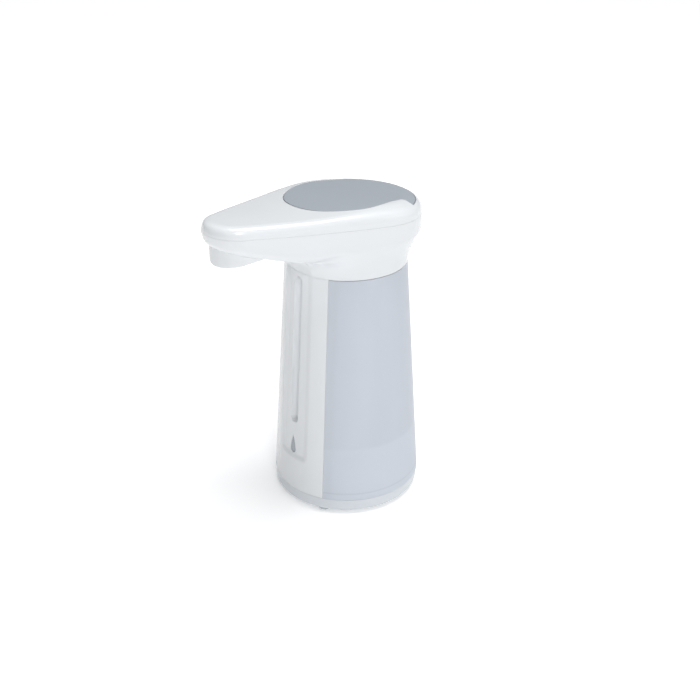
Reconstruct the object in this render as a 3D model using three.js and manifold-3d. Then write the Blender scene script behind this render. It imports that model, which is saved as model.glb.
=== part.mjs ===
// Touchless soap dispenser, free-standing, battery powered.
// Millimetres, +Z up, the nose points to -Y. The model is drawn about the column axis
// and shifted at the end, so that the origin is under the middle of the bounding box.
import * as THREE from 'three';
import { mergeVertices } from 'three/addons/utils/BufferGeometryUtils.js';
import Module from 'manifold-3d';

const wasm = await Module();
wasm.setup();

// ---- driving dimensions ----
const GAP = 0.3;
const WALL = 2;
const ORIGIN_SHIFT_Y = 23.85;

const NECK_R = 36;
const NECK_Z = 150;
const FOOT_R = 45.4;
const SEAM_Z = 10.2;

const HEAD = { rearR: 40.2, rearY: 4.6, noseR: 18.5, noseY: -74.6, bulge: 1.4 };
const PARTING = { z0: 179.8, slope: -0.054 };
const UNDERSIDE = { z0: 162.5, y0: -36, slope: -0.272 };

const PANEL = { halfTop: 20.6, halfBottom: 23.8, thick: 2.2, ribHalf: 13.5, ribThick: 4.2 };
const RECESS = { halfTop: 10.5, halfBottom: 11.8, bottomZ: 32, corner: 3, depth: 1.3 };
const GROOVE = { half: 3.4, bottomZ: 54.5, topZ: 147, depth: 2 };
const DROP = { half: 2.3, bottomZ: 33.8, tipZ: 45.2 };
const CHANNEL = { bottomY: -29, topY: -25.4 };

const TANK_FLOOR_Z = 38;
const FILL = { y: 3, r: 14.3, bottomZ: 148.4, topZ: 184.2 };
const LID_HINGE = { y: 41.1, z: 183.6, pinR: 0.5, boreR: 0.7, barrelR: 1.15, half: 7, pinHalf: 9.2 };
const LID_THICK = 1.6;
const LID_FRONT = [
  [0, -37.3], [8, -36.2], [15, -32.8], [20.5, -27.8], [24.5, -22], [27.5, -16], [29.2, -9.5],
  [29.3, -3], [28.3, 3.5], [27, 9], [26.2, 14], [26.1, 19.7], [28.2, 21.3], [31.7, 22.2],
];
const LID_REAR_R = 36.2;
const LID_REAR_Y = 39.6;

const DOOR = { half: 15.4, frontY: -23.4, hingeY: 31.2, hingeZ: 3.4 };
const CELL = { r: 7.1, y: 3, length: 49, x: 7.45, z: [12.3, 26.7] };
const SWITCH = { x: -28, y: -17, travel: 4 };
const BASE_SCREWS = [[33, 0], [-33, 0], [0, 36]];
const FEET = [[20, -34], [-20, -34], [20, 34], [-20, 34]];

const MOTOR = { x: 4.7, z: 175, r: 9.7, flat: 7.5 };
const PUMP = { x: -4.6, z: 179.3, pitch: 9.6 };
const SHROUD = { inset: 3.4, rearY: -69, frontZ: 163.7, rise: 0.25 };
const SUCTION = { x: -14, y: -17.5 };
const NOZZLE_Y = -79;
const SENSOR_Y = -66.2;
const NOSE_SCREWS = [[15, -66], [-15, -66]];

// ---- solids ----
function solid(geometry) {
  const plain = geometry.index ? geometry.toNonIndexed() : geometry.clone();
  const bare = new THREE.BufferGeometry().setAttribute('position', plain.getAttribute('position'));
  const merged = mergeVertices(bare, 1e-4);
  const index = merged.index.array;
  const kept = [];
  for (let i = 0; i < index.length; i += 3) {
    const [a, b, c] = [index[i], index[i + 1], index[i + 2]];
    if (a !== b && b !== c && c !== a) kept.push(a, b, c);
  }
  const build = (list) => new wasm.Manifold(new wasm.Mesh({
    numProp: 3,
    vertProperties: new Float32Array(merged.attributes.position.array),
    triVerts: new Uint32Array(list),
  }));
  const made = build(kept);
  if (made.volume() > 0) return made;
  for (let i = 0; i < kept.length; i += 3) [kept[i + 1], kept[i + 2]] = [kept[i + 2], kept[i + 1]];
  return build(kept);
}

function box(x0, x1, y0, y1, z0, z1) {
  const g = new THREE.BoxGeometry(x1 - x0, y1 - y0, z1 - z0);
  return solid(g.translate((x0 + x1) / 2, (y0 + y1) / 2, (z0 + z1) / 2));
}

// A solid of revolution about the vertical through (x, y), from a list of [radius, z].
function turned(profile, segments = 24, x = 0, y = 0) {
  const points = profile.map(([r, z]) => new THREE.Vector2(r, z));
  return solid(new THREE.LatheGeometry(points, segments).rotateX(Math.PI / 2).translate(x, y, 0));
}

function post(x, y, r, z0, z1, segments = 20) {
  return turned([[0, z0], [r, z0], [r, z1], [0, z1]], segments, x, y);
}

// A round bar along Y or along X.
function barY(x, z, r, y0, y1, segments = 20) {
  return solid(new THREE.CylinderGeometry(r, r, y1 - y0, segments).translate(x, (y0 + y1) / 2, z));
}

function barX(y, z, r, x0, x1, segments = 16) {
  const g = new THREE.CylinderGeometry(r, r, x1 - x0, segments).rotateZ(Math.PI / 2);
  return solid(g.translate((x0 + x1) / 2, y, z));
}

// Outlines in the XY plane extruded along Z, and outlines in the XZ plane extruded along Y.
function prism(points, z0, z1) {
  const shape = new THREE.Shape(points.map(([x, y]) => new THREE.Vector2(x, y)));
  const g = new THREE.ExtrudeGeometry(shape, { depth: z1 - z0, bevelEnabled: false });
  return solid(g.translate(0, 0, z0));
}

function prismY(points, y0, y1) {
  const shape = new THREE.Shape(points.map(([x, z]) => new THREE.Vector2(x, z)));
  const g = new THREE.ExtrudeGeometry(shape, { depth: y1 - y0, bevelEnabled: false });
  return solid(g.rotateX(Math.PI / 2).translate(0, y1, 0));
}

// A skin through closed rings of equal length, from the bottom ring to the top one.
function loft(rings, openTop = false) {
  const n = rings[0].length;
  const out = [];
  const put = (...corners) => corners.forEach((p) => out.push(p.x, p.y, p.z));
  const middle = (ring) => ring.reduce((s, p) => s.add(p), new THREE.Vector3()).divideScalar(n);
  for (let k = 0; k + 1 < rings.length; k++) {
    for (let j = 0; j < n; j++) {
      const [a, b] = [rings[k][j], rings[k][(j + 1) % n]];
      const [d, c] = [rings[k + 1][j], rings[k + 1][(j + 1) % n]];
      put(a, b, c);
      put(a, c, d);
    }
  }
  const low = middle(rings[0]);
  for (let j = 0; j < n; j++) put(rings[0][(j + 1) % n], rings[0][j], low);
  if (!openTop) {
    const last = rings[rings.length - 1];
    const high = middle(last);
    for (let j = 0; j < n; j++) put(last[j], last[(j + 1) % n], high);
  }
  const g = new THREE.BufferGeometry();
  g.setAttribute('position', new THREE.Float32BufferAttribute(out, 3));
  return solid(g);
}

// ---- head surfaces ----
const lerp = THREE.MathUtils.lerp;
const smooth = (x, a, b) => THREE.MathUtils.smoothstep(x, a, b);
const partingZ = (y) => PARTING.z0 + PARTING.slope * y;
const undersideZ = (y) => UNDERSIDE.z0 + UNDERSIDE.slope * (y - UNDERSIDE.y0);
const coneR = (z) => NECK_R + ((FOOT_R - NECK_R) * (NECK_Z - z)) / (NECK_Z - SEAM_Z);
const panelHalf = (z) => PANEL.halfBottom + ((PANEL.halfTop - PANEL.halfBottom) * (z - 10)) / 140;

function along(table, s) {
  const k = Math.max(1, table.findIndex(([key]) => key >= s));
  const [a, b] = s > table[table.length - 1][0] ? table.slice(-2) : [table[k - 1], table[k]];
  return lerp(a[1], b[1], THREE.MathUtils.clamp((s - a[0]) / (b[0] - a[0]), 0, 1));
}

// The teardrop outline of the head, moved inwards by inset, counter-clockwise from the right.
function outline(inset, rear = 22, side = 6, nose = 10) {
  const lean = Math.asin((HEAD.rearR - HEAD.noseR) / (HEAD.rearY - HEAD.noseY));
  const points = [];
  const arc = (r, cy, from, to, count) => {
    for (let i = 0; i < count; i++) {
      const a = lerp(from, to, i / count);
      points.push([(r - inset) * Math.cos(a), cy + (r - inset) * Math.sin(a)]);
    }
  };
  const straight = (sign, fromRear) => {
    const [nx, ny] = [sign * Math.cos(lean), -Math.sin(lean)];
    const a = [HEAD.rearR, HEAD.rearY];
    const b = [HEAD.noseR, HEAD.noseY];
    for (let i = 0; i < side; i++) {
      const t = fromRear ? i / side : 1 - i / side;
      const r = lerp(a[0], b[0], t) - inset + HEAD.bulge * 4 * t * (1 - t);
      points.push([nx * r, lerp(a[1], b[1], t) + ny * r]);
    }
  };
  arc(HEAD.rearR, HEAD.rearY, -lean, Math.PI + lean, rear);
  straight(-1, true);
  arc(HEAD.noseR, HEAD.noseY, Math.PI + lean, 2 * Math.PI - lean, nose);
  straight(1, false);
  return points;
}

// Height of the top face: a gentle slope to the rear with a low dome under the lid.
function topZ(x, y) {
  const dome = 1.9 * Math.exp(-(((y + 4) / 24) ** 2));
  return 188.4 - 0.026 * y + dome - 0.0008 * x * x;
}

const DROP_FRONT = [[0, 4.4], [0.5, 2.7], [1.4, 1.2], [2.8, 0.35], [5.5, 0], [40, 0]];
const DROP_REAR = [[0, 6.6], [0.6, 5.1], [2.3, 3.0], [5, 1.55], [10.3, 0.2], [13, 0], [40, 0]];

function shoulderZ(x, y, inset) {
  const drop = lerp(along(DROP_FRONT, inset), along(DROP_REAR, inset), smooth(y, -34, 24));
  return topZ(x, y) - drop;
}

// The solid under the top skin: down to floorZ(y), moved in by inset and down by depth.
function topSolid(inset, depth, floorZ) {
  const ringAt = (step, z) => outline(inset + step).map(([x, y]) => new THREE.Vector3(x, y, z(x, y)));
  const rings = [ringAt(0, (x, y) => floorZ(y))];
  for (const step of [0, 0.55, 1.4, 2.8, 5.5, 10.3]) {
    rings.push(ringAt(step, (x, y) => shoulderZ(x, y, step) - depth));
  }
  for (const s of [0.45, 1]) {
    rings.push(outline(inset + 10.3).map(([x, y]) => {
      const spine = THREE.MathUtils.clamp(y, HEAD.noseY, HEAD.rearY);
      const [px, py] = [x * (1 - s), lerp(y, spine, s)];
      return new THREE.Vector3(px, py, shoulderZ(px, py, 10.3 + 10 * s) - depth);
    }));
  }
  return loft(rings, true);
}

// Height table of the lower housing: for the short flare at the sides and for the long nose.
const FLARE = [[0, 150.3], [0, 152], [0.2, 157.9], [0.36, 160.6], [0.52, 162.9], [0.65, 164.9],
  [0.77, 166.6], [0.88, 168], [0.96, 169.6], [1, 172]];

function lowerSolid(inset, lift, bottomZ, topLift) {
  const neck = NECK_R - inset;
  const rows = FLARE.map(() => []);
  const top = [];
  for (const [x, y] of outline(inset)) {
    const far = Math.hypot(x, y);
    const reach = far - neck;
    const [ux, uy] = [x / far, y / far];
    const w = smooth(reach, 7, 30);
    const nose = [[0, 0], [0, 0], [0.9, -4.6], [2.6, -2.0], [7, 0], [reach * 0.55, 0],
      [reach - 4.2, 0], [reach - 2.4, 1.1], [reach - 0.9, 3.2], [reach - 0.1, 6.5]];
    FLARE.forEach(([s, z], k) => {
      const d = lerp(s * reach, nose[k][0], w);
      const [px, py] = [ux * (neck + d), uy * (neck + d)];
      const under = undersideZ(Math.min(py, UNDERSIDE.y0)) + nose[k][1] + lift;
      rows[k].push(new THREE.Vector3(px, py, k === 0 ? bottomZ : lerp(z, k < 2 ? z : under, w)));
    });
    top.push(new THREE.Vector3(x, y, partingZ(y) + topLift));
  }
  return loft([...rows, top]);
}

// ---- lid outline ----
function lidOutline(grow = 0) {
  const lastX = LID_FRONT[LID_FRONT.length - 1];
  const a0 = Math.atan2(lastX[1] - HEAD.rearY, lastX[0]);
  const right = LID_FRONT.map((p) => [...p]);
  for (let i = 1; i <= 8; i++) {
    const a = lerp(a0, Math.PI / 2, i / 8);
    right.push([LID_REAR_R * Math.cos(a), Math.min(HEAD.rearY + LID_REAR_R * Math.sin(a), LID_REAR_Y)]);
  }
  const left = right.slice(1, -1).reverse().map(([x, y]) => [-x, y]);
  const ring = [...right, ...left];
  return ring.map(([x, y], i) => {
    const [ax, ay] = ring[(i + ring.length - 1) % ring.length];
    const [bx, by] = ring[(i + 1) % ring.length];
    const length = Math.hypot(bx - ax, by - ay);
    return [x + (grow * (by - ay)) / length, y - (grow * (bx - ax)) / length];
  });
}

// ---- head pieces ----
function headTopCover() {
  const outer = topSolid(0, 0, (y) => partingZ(y) + 0.15);
  const inner = topSolid(WALL, WALL, (y) => partingZ(y) - 2);
  const lidZone = prism(lidOutline(2), 170, 200);
  const trayUnder = topSolid(0, 4.1, (y) => partingZ(y) - 8);
  const trayTop = topSolid(0, LID_THICK + GAP, (y) => partingZ(y) - 6);
  let cover = outer.subtract(inner).add(outer.subtract(trayUnder).intersect(lidZone));
  for (const [x, y] of NOSE_SCREWS) cover = cover.add(post(x, y, 3, 176.4, 188.6).intersect(outer));
  const rearGap = prism(lidOutline(1.0), 170, 200).intersect(box(-15, 15, 33, 50, 170, 200));
  cover = cover.subtract(prism(lidOutline(0.35), 170, 200).add(rearGap).subtract(trayTop));
  cover = cover.subtract(post(0, FILL.y, FILL.r + 0.2, 175, 192, 32));
  const { y: hingeY, z: hingeZ, half, boreR, pinHalf } = LID_HINGE;
  cover = cover.subtract(box(-half - 0.4, half + 0.4, 38.4, hingeY + 1.9, 181.4, 190));
  cover = cover.subtract(barX(hingeY, hingeZ, boreR, -pinHalf - 0.4, pinHalf + 0.4, 12));
  for (const [x, y] of NOSE_SCREWS) cover = cover.subtract(post(x, y, 1.4, 170, 184.4, 12));
  return cover;
}

function dShape(r, chordY, count = 28) {
  const a0 = Math.asin(chordY / r);
  const points = [];
  for (let i = 0; i <= count; i++) {
    const a = lerp(a0, Math.PI - a0, i / count);
    points.push([r * Math.cos(a), r * Math.sin(a)]);
  }
  return points;
}

// The boss around the nozzle: its foot slopes up to the rear until it meets the underside.
function nozzleShroud() {
  const { inset, rearY, frontZ, rise } = SHROUD;
  const length = rearY + 100;
  const below = prismYZ([[-100, 150], [rearY, 150], [rearY, frontZ + rise * length], [-100, frontZ]]);
  return prism(outline(inset), 160, 178).intersect(box(-30, 30, -100, rearY, 150, 180)).subtract(below);
}

// An outline in the YZ plane extruded along X over the whole width.
function prismYZ(points, x0 = -60, x1 = 60) {
  const shape = new THREE.Shape(points.map(([y, z]) => new THREE.Vector2(y, z)));
  const g = new THREE.ExtrudeGeometry(shape, { depth: x1 - x0, bevelEnabled: false });
  g.applyMatrix4(new THREE.Matrix4().set(0, 0, 1, x0, 1, 0, 0, 0, 0, 1, 0, 0, 0, 0, 0, 1));
  return solid(g);
}

function headLowerHousing() {
  let part = lowerSolid(0, 0, 150.3, -0.15);
  const skin = part;
  part = part.add(nozzleShroud());
  part = part.subtract(lowerSolid(WALL, WALL, 140, 6));
  part = part.add(prism(dShape(NECK_R - 1, -25.6), 150.3, 152.3));
  part = part.add(prism(dShape(33.4, -23), 146, 151).subtract(prism(dShape(31.6, -21.2), 145, 151)));
  for (const [x, y] of NOSE_SCREWS) {
    part = part.add(post(x, y, 3.4, 168, 176).intersect(skin));
    part = part.subtract(post(x, y, 1.4, 160, 178, 12)).subtract(post(x, y, 2.9, 160, 172.8, 16));
  }
  part = part.subtract(post(0, FILL.y, 16.9, 145, 153, 32));
  part = part.subtract(post(SUCTION.x, SUCTION.y, 2.8, 145, 153, 12));
  part = part.subtract(post(0, NOZZLE_Y, 3.4, 160, 178, 20)).subtract(post(0, NOZZLE_Y, 5, 175.4, 180, 20));
  part = part.subtract(box(-7.3, 7.3, SENSOR_Y - 3.3, SENSOR_Y + 3.3, 165, 178));
  const strip = box(-RECESS.halfTop, RECESS.halfTop, -60, -30, 149, 157);
  part = part.subtract(strip.subtract(post(0, 0, NECK_R - RECESS.depth, 140, 170, 48)));
  return part;
}

function sensorWindow() {
  const skin = lowerSolid(0, 0, 150.3, -0.15);
  const raised = skin.translate([0, 0, 1.6]);
  return skin.subtract(raised).intersect(box(-7, 7, SENSOR_Y - 3, SENSOR_Y + 3, 165, 178));
}

function refillLid() {
  const outer = topSolid(0, 0, (y) => partingZ(y) - 6);
  const under = topSolid(0, LID_THICK, (y) => partingZ(y) - 8);
  let lid = outer.subtract(under).intersect(prism(lidOutline(), 170, 200));
  const { y, z, half, boreR, barrelR } = LID_HINGE;
  const web = [[38.4, 184.2], [39.5, 185.3], [y, z + 1.1], [y + 0.6, z - 0.3], [y - 0.8, z - 0.6]];
  lid = lid.add(barX(y, z, barrelR, -half, half, 16)).add(prismYZ(web, -half, half));
  return lid.subtract(barX(y, z, boreR, -20, 20, 12));
}

function lidPlug() {
  const cup = turned([[0, 185.6], [10, 185.6], [10, 182.6], [11.6, 181.6], [13, 182.6], [13, 190],
    [0, 190]], 24, 0, FILL.y);
  return cup.intersect(topSolid(0, LID_THICK + GAP, (y) => partingZ(y) - 8));
}

function fillNeck() {
  const { r, bottomZ, topZ: top, y } = FILL;
  return turned([[r, bottomZ], [16.5, bottomZ], [16.5, 152.6], [18.5, 152.6], [18.5, 154], [16.2, 154],
    [16.2, top], [r, top], [r, bottomZ]], 24, 0, y);
}

// ---- column pieces ----
function cone(inset, z0, z1) {
  return turned([[0, z0], [coneR(z0) - inset, z0], [coneR(z1) - inset, z1], [0, z1]], 48);
}

// Everything in front of the column's inner front wall, as wide as the panel plus side.
function frontWedge(side, back, z0, z1) {
  const ring = (z) => {
    const half = panelHalf(z) + side;
    const y = lerp(CHANNEL.bottomY, CHANNEL.topY, (z - 10) / 140) + back;
    return [[half, -60], [half, y], [-half, y], [-half, -60]].map(([x, d]) => new THREE.Vector3(x, d, z));
  };
  return loft([ring(z0), ring(z1)]);
}

function soapTank() {
  const outer = cone(0, SEAM_Z + GAP, NECK_Z - GAP).subtract(frontWedge(GAP, 0, 5, 155));
  const inside = (z0, z1) => cone(WALL, z0, z1).subtract(frontWedge(GAP + WALL, WALL, z0, z1));
  return outer.subtract(inside(TANK_FLOOR_Z, 152)).subtract(inside(8, TANK_FLOOR_Z - WALL));
}

function recessOutline(z1) {
  const { halfTop, halfBottom, bottomZ, corner } = RECESS;
  const points = [];
  for (let i = 0; i <= 4; i++) {
    const a = -Math.PI / 2 + (i / 4) * (Math.PI / 2);
    points.push([halfBottom - corner + corner * Math.cos(a), bottomZ + corner + corner * Math.sin(a)]);
  }
  const left = points.map(([x, z]) => [-x, z]).reverse();
  return [...points, [halfTop, z1], [-halfTop, z1], ...left];
}

function dropOutline(grow) {
  const { half, bottomZ, tipZ } = DROP;
  const points = [];
  for (let i = 0; i <= 12; i++) {
    const a = -Math.PI * 1.12 + (i / 12) * Math.PI * 1.24;
    points.push([(half + grow) * Math.cos(a), bottomZ + half + (half + grow) * Math.sin(a)]);
  }
  return [...points, [0, tipZ + grow * 2.4]];
}

function frontPanel() {
  const skin = cone(0, SEAM_Z + GAP, NECK_Z - GAP).subtract(cone(PANEL.thick, 5, 155));
  const rib = cone(0.5, SEAM_Z + GAP, NECK_Z - GAP).subtract(cone(PANEL.ribThick, 5, 155));
  const half = PANEL.ribHalf;
  let panel = skin.intersect(frontWedge(0, -0.4, 5, 155));
  panel = panel.add(rib.intersect(box(-half, half, -60, -31, 0, 160)));
  panel = panel.subtract(prismY(recessOutline(155), -60, -30).subtract(cone(RECESS.depth, 5, 155)));
  panel = panel.subtract(panelGroove());
  return panel.subtract(prismY(dropOutline(GAP), -60, -20));
}

function panelGroove() {
  const { half, bottomZ, topZ: top, depth } = GROOVE;
  const lean = Math.atan((FOOT_R - NECK_R) / (NECK_Z - SEAM_Z));
  const mid = (bottomZ + top) / 2;
  const g = new THREE.CapsuleGeometry(half, top - bottomZ - 2 * half, 4, 12).rotateX(Math.PI / 2);
  g.scale(1, depth / half, 1).rotateX(lean);
  return solid(g.translate(0, -(coneR(mid) - RECESS.depth), mid));
}

function statusWindow() {
  const layer = cone(RECESS.depth, 20, 60).subtract(cone(PANEL.ribThick - 0.4, 15, 65));
  return prismY(dropOutline(0), -60, -20).intersect(layer);
}

// ---- base pieces ----
function baseRing() {
  let base = turned([[0, 2], [43.2, 2], [44.3, 2.6], [44.8, 4], [FOOT_R, SEAM_Z], [42.9, SEAM_Z], [42.9, 13],
    [41.2, 13], [41.2, 4.4], [0, 4.4]], 48);
  base = base.subtract(box(-28, 28, -60, -20, SEAM_Z, 20));
  base = base.subtract(box(-DOOR.half - 0.4, DOOR.half + 0.4, DOOR.frontY - 0.4, DOOR.hingeY + 2, 0, 6));
  base = base.subtract(barX(DOOR.hingeY, DOOR.hingeZ, 0.9, -18.3, 18.3, 12));
  base = base.subtract(box(SWITCH.x - 2.6, SWITCH.x + 2.6, SWITCH.y - 3, SWITCH.y + 7, 0, 6));
  for (const [x, y] of BASE_SCREWS) {
    base = base.subtract(post(x, y, 1.4, 0, 6, 12)).subtract(post(x, y, 2.9, 0, 3.4, 16));
  }
  for (const [x, y] of FEET) base = base.subtract(post(x, y, 4.3, 0, 2.9, 16));
  return base;
}

function foot(x, y) {
  return turned([[0, 0], [3.2, 0], [4, 0.8], [4, 2.6], [0, 2.6]], 12, x, y);
}

function batteryHousing() {
  const room = prism(dShape(38.4, -24.4), 0, 33.6);
  const pocketWall = box(-17.3, 17.3, -25.3, 33.3, 4.8, 35);
  let body = prism(dShape(40.4, -26), 4.8, 35.6).subtract(room.subtract(pocketWall));
  body = body.subtract(box(-15.3, 15.3, -23.3, 31.3, 0, 34));
  for (const [x, y] of BASE_SCREWS) {
    const rib = x ? box(Math.min(x, Math.sign(x) * 39), Math.max(x, Math.sign(x) * 39), -1.2, 1.2, 4.8, 22)
      : box(-1.2, 1.2, y, 39, 4.8, 22);
    body = body.add(post(x, y, 2.6, 4.8, 22, 16)).add(rib);
    body = body.subtract(post(x, y, 1.4, 0, 18, 12));
  }
  return body.subtract(box(-15.3, 15.3, -23.3, 31.3, 0, 34));
}

function cell(x, z) {
  const { r, y, length } = CELL;
  const profile = [[0, 0], [r - 0.4, 0], [r, 0.6], [r, length - 1], [r - 0.6, length - 0.4],
    [2.7, length - 0.4], [2.7, length + 1], [0, length + 1]];
  const points = profile.map(([a, b]) => new THREE.Vector2(a, b));
  const g = new THREE.LatheGeometry(points, 14);
  return solid(g.translate(x, y - length / 2 - 0.5, z));
}

function contactPlate(y0, y1, coneTo) {
  let plate = box(-14.6, 14.6, y0, y1, 5.6, 33.2);
  const tip = Math.min(y0, coneTo);
  for (const x of [-CELL.x, CELL.x]) {
    for (const z of CELL.z) plate = plate.add(barY(x, z, 2.2, tip, Math.max(y1, coneTo), 10));
  }
  return plate;
}

function batteryDoor() {
  const { half, frontY, hingeY, hingeZ } = DOOR;
  let door = box(-half, half, frontY, hingeY - 2.2, 2.2, 4.2);
  for (const x of [-9, 9]) {
    door = door.add(barX(hingeY, hingeZ, 1.3, x - 4, x + 4, 16));
    door = door.add(box(x - 4, x + 4, hingeY - 3, hingeY, 2.4, 4.2));
  }
  door = door.add(box(-4, 4, frontY + 0.6, frontY + 2, 4, 5.4));
  door = door.subtract(box(-6, 6, -18, -14, 1, 2.9));
  return door.subtract(barX(hingeY, hingeZ, 0.9, -20, 20, 12));
}

function switchKnob() {
  const { x, y } = SWITCH;
  let knob = box(x - 2.2, x + 2.2, y - 2.6, y + 2.6, 1.2, 4.8);
  for (const step of [-1.4, 0, 1.4]) knob = knob.subtract(box(x - 3, x + 3, y + step - 0.3, y + step + 0.3, 0, 1.7));
  return knob;
}

function screw(x, y, headZ, length) {
  return turned([[0, headZ + 0.5], [0.8, headZ], [2.4, headZ], [2.4, headZ + 0.9], [1.1, headZ + 1],
    [1.1, headZ + length], [0, headZ + length + 0.6]], 10, x, y);
}

// ---- drive pieces ----
// A spur gear outline with involute flanks, in the XZ plane.
function gearOutline(teeth, module, phase) {
  const pitch = (teeth * module) / 2;
  const base = pitch * Math.cos(Math.PI / 9);
  const tip = pitch + 0.8 * module;
  const root = pitch - 1.1 * module;
  const inv = (rho) => {
    const t = Math.acos(Math.min(1, base / rho));
    return Math.tan(t) - t;
  };
  const half = (rho) => Math.PI / (2 * teeth) + inv(pitch) - inv(Math.max(rho, base)) - 0.16 / teeth;
  const radii = [root, pitch, tip];
  const points = [];
  for (let i = 0; i < teeth; i++) {
    const centre = phase + (i * 2 * Math.PI) / teeth;
    for (const r of radii) points.push([r, centre - half(r)]);
    for (const r of [...radii].reverse()) points.push([r, centre + half(r)]);
  }
  return points.map(([r, a]) => [r * Math.cos(a), r * Math.sin(a)]);
}

function gear(x, z, teeth, module, y0, y1, phase) {
  const centred = gearOutline(teeth, module, phase).map(([a, b]) => [a + x, b + z]);
  return prismY(centred, y0, y1);
}

function motorBody() {
  const can = barY(MOTOR.x, MOTOR.z, MOTOR.r, -45, -21, 32)
    .intersect(box(-20, 30, -50, -10, MOTOR.z - MOTOR.flat, MOTOR.z + MOTOR.flat));
  return can.add(barY(MOTOR.x, MOTOR.z, 3, -46.2, -44, 20)).subtract(barY(MOTOR.x, MOTOR.z, 1.3, -48, -41, 12));
}

function pumpHousing() {
  const other = PUMP.x + PUMP.pitch;
  let body = box(-13.2, 13.6, -62.6, -54.4, 172.6, 186.4);
  for (const x of [PUMP.x, other]) {
    body = body.subtract(barY(x, PUMP.z, 6.2, -60.6, -50, 28));
    body = body.subtract(barY(x, PUMP.z, 1.3, -62, -50, 12));
  }
  body = body.subtract(box(PUMP.x, other, -60.6, -50, PUMP.z - 2.5, PUMP.z + 2.5));
  body = body.add(barY(0.2, 183.4, 1.2, -65.2, -62, 12));
  body = body.add(box(-18.6, -13, -61, -55.4, 174, 179));
  return body.add(barY(-15.9, 176.5, 0.9, -56, -54.1, 12));
}

function pumpCover() {
  const other = PUMP.x + PUMP.pitch;
  let plate = box(-13.2, 13.6, -54.1, -52.2, 172.6, 186.4);
  for (const x of [PUMP.x, other]) plate = plate.subtract(barY(x, PUMP.z, 1.3, -56, -50, 12));
  return plate;
}

// A tube along a smooth line: outer radius r, bore radius bore.
function tube(points, r, bore, steps) {
  const curve = new THREE.CatmullRomCurve3(points.map((p) => new THREE.Vector3(...p)), false, 'centripetal');
  const ring = (radius) => {
    const list = [];
    for (let i = 0; i < 8; i++) {
      const a = (i / 8) * 2 * Math.PI;
      list.push(new THREE.Vector2(radius * Math.cos(a), radius * Math.sin(a)));
    }
    return list;
  };
  const shape = new THREE.Shape(ring(r));
  shape.holes.push(new THREE.Path(ring(bore).reverse()));
  return solid(new THREE.ExtrudeGeometry(shape, { steps, bevelEnabled: false, extrudePath: curve }));
}

function nozzleTip() {
  return turned([[1, 167.4], [2.4, 167.4], [2.9, 168.2], [2.9, 175.8], [4.6, 175.8], [4.6, 177], [2, 177],
    [2, 171], [1, 170], [1, 167.4]], 20, 0, NOZZLE_Y);
}

function strainer() {
  return turned([[1.9, 39.2], [5, 39.2], [5, 43.4], [3.4, 45.6], [3.4, 48], [2.8, 48], [2.8, 44], [1.9, 43],
    [1.9, 39.2]], 16, SUCTION.x, SUCTION.y);
}

// ---- the assembly ----
const GLOSS_WHITE = { color: 0xe6e8ec, roughness: 0.22, metalness: 0 };
const SATIN_GREY = { color: 0xa6aeb6, roughness: 0.45, metalness: 0 };
const PALE_GREY = { color: 0xd0d5db, roughness: 0.35, metalness: 0 };
const TRANSLUCENT = { color: 0xccd2dc, roughness: 0.35, metalness: 0 };
const WINDOW_GREY = { color: 0x8f959c, roughness: 0.15, metalness: 0 };
const CLEAR = { color: 0xe2e6ea, roughness: 0.2, metalness: 0 };
const MOULDED = { color: 0xf0f1f2, roughness: 0.5, metalness: 0 };
const SILICONE = { color: 0xdfe2e4, roughness: 0.6, metalness: 0 };
const STEEL = { color: 0xb8bbbf, roughness: 0.35, metalness: 0.9 };
const BRASS = { color: 0xc9a95a, roughness: 0.35, metalness: 0.9 };
const DARK = { color: 0x2c2f33, roughness: 0.5, metalness: 0 };
const BOARD = { color: 0x1f6a44, roughness: 0.5, metalness: 0 };
const SMOKE = { color: 0x35323a, roughness: 0.12, metalness: 0 };
const LED = { color: 0xd9e6ff, roughness: 0.2, metalness: 0 };
const ACETAL = { color: 0xe9e6da, roughness: 0.4, metalness: 0 };
const CELL_SKIN = { color: 0x3f4c5c, roughness: 0.3, metalness: 0.2 };
const GREY_WIRE = { color: 0x8d9297, roughness: 0.5, metalness: 0 };

const dispenser = new THREE.Group();

function add(name, made, look) {
  const found = made.getMesh();
  const g = new THREE.BufferGeometry();
  const count = found.vertProperties.length / found.numProp;
  const positions = new Float32Array(count * 3);
  for (let i = 0; i < count; i++) {
    for (let k = 0; k < 3; k++) positions[i * 3 + k] = found.vertProperties[i * found.numProp + k];
  }
  g.setAttribute('position', new THREE.BufferAttribute(positions, 3));
  g.setIndex(new THREE.BufferAttribute(new Uint32Array(found.triVerts), 1));
  g.computeVertexNormals();
  const mesh = new THREE.Mesh(g, new THREE.MeshStandardMaterial(look));
  mesh.name = name;
  mesh.position.y = ORIGIN_SHIFT_Y;
  dispenser.add(mesh);
}

add('head_top_cover', headTopCover(), GLOSS_WHITE);
add('head_lower_housing', headLowerHousing(), GLOSS_WHITE);
add('refill_lid', refillLid(), SATIN_GREY);
add('lid_plug', lidPlug(), SILICONE);
add('lid_hinge_pin', barX(LID_HINGE.y, LID_HINGE.z, LID_HINGE.pinR, -LID_HINGE.pinHalf, LID_HINGE.pinHalf, 12), STEEL);
add('fill_neck', fillNeck(), MOULDED);
add('soap_tank', soapTank(), TRANSLUCENT);
add('front_panel', frontPanel(), GLOSS_WHITE);
add('status_window', statusWindow(), WINDOW_GREY);
add('status_led', barY(0, 39, 1.6, -38, -33.6, 12), LED);
add('base_ring', baseRing(), PALE_GREY);
FEET.forEach(([x, y], i) => add(`foot_${i + 1}`, foot(x, y), CLEAR));
add('battery_housing', batteryHousing(), MOULDED);
CELL.z.forEach((z, row) => [-CELL.x, CELL.x].forEach((x, side) => {
  add(`battery_cell_${row * 2 + side + 1}`, cell(x, z), CELL_SKIN);
}));
add('contact_plate_front', contactPlate(-22.9, -22.4, -22), STEEL);
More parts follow.
